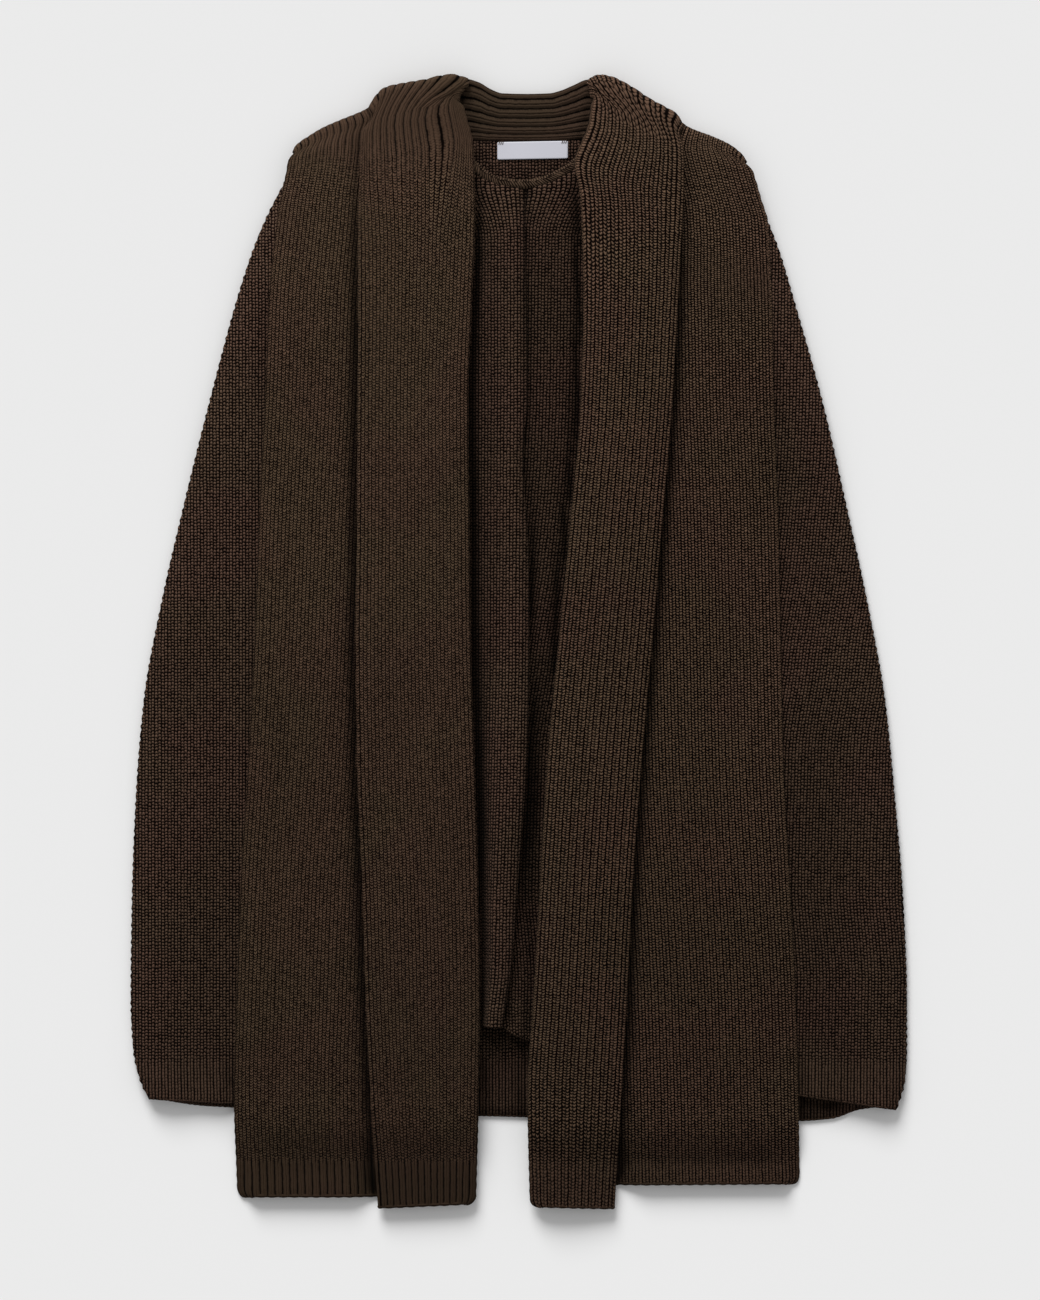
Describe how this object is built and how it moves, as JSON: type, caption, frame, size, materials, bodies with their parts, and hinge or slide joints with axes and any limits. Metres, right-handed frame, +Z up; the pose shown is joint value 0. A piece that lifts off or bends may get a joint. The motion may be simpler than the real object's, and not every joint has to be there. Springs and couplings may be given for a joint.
{
  "type": "knit cape",
  "caption": "Dark brown knit cape lying flat, with a closed front that has a soft middle fold and a long ribbed scarf hanging from its neck.",
  "frame": {"origin": "bottom centre of the box of the cape as it lies flat", "axes": "+X across the cape to the right as seen from above, +Y from the hems to the neck, +Z up from the surface it lies on"},
  "size_m": [0.6224, 0.907, 0.0215],
  "materials": {
    "body_knit": "soft matte waffle knit, dark brown",
    "scarf_knit": "soft matte rib knit, dark brown",
    "trim_knit": "soft matte rolled plain knit, dark brown",
    "label_cloth": "pale grey satin ribbon, bare"
  },
  "bodies": {
    "root": {"back": "body_knit", "front": "body_knit", "neckband": "trim_knit", "scarf_left": "scarf_knit", "scarf_right": "scarf_knit", "scarf_stand": "scarf_knit", "scarf_fall": "scarf_knit", "label": "label_cloth"}
  },
  "joints": []
}
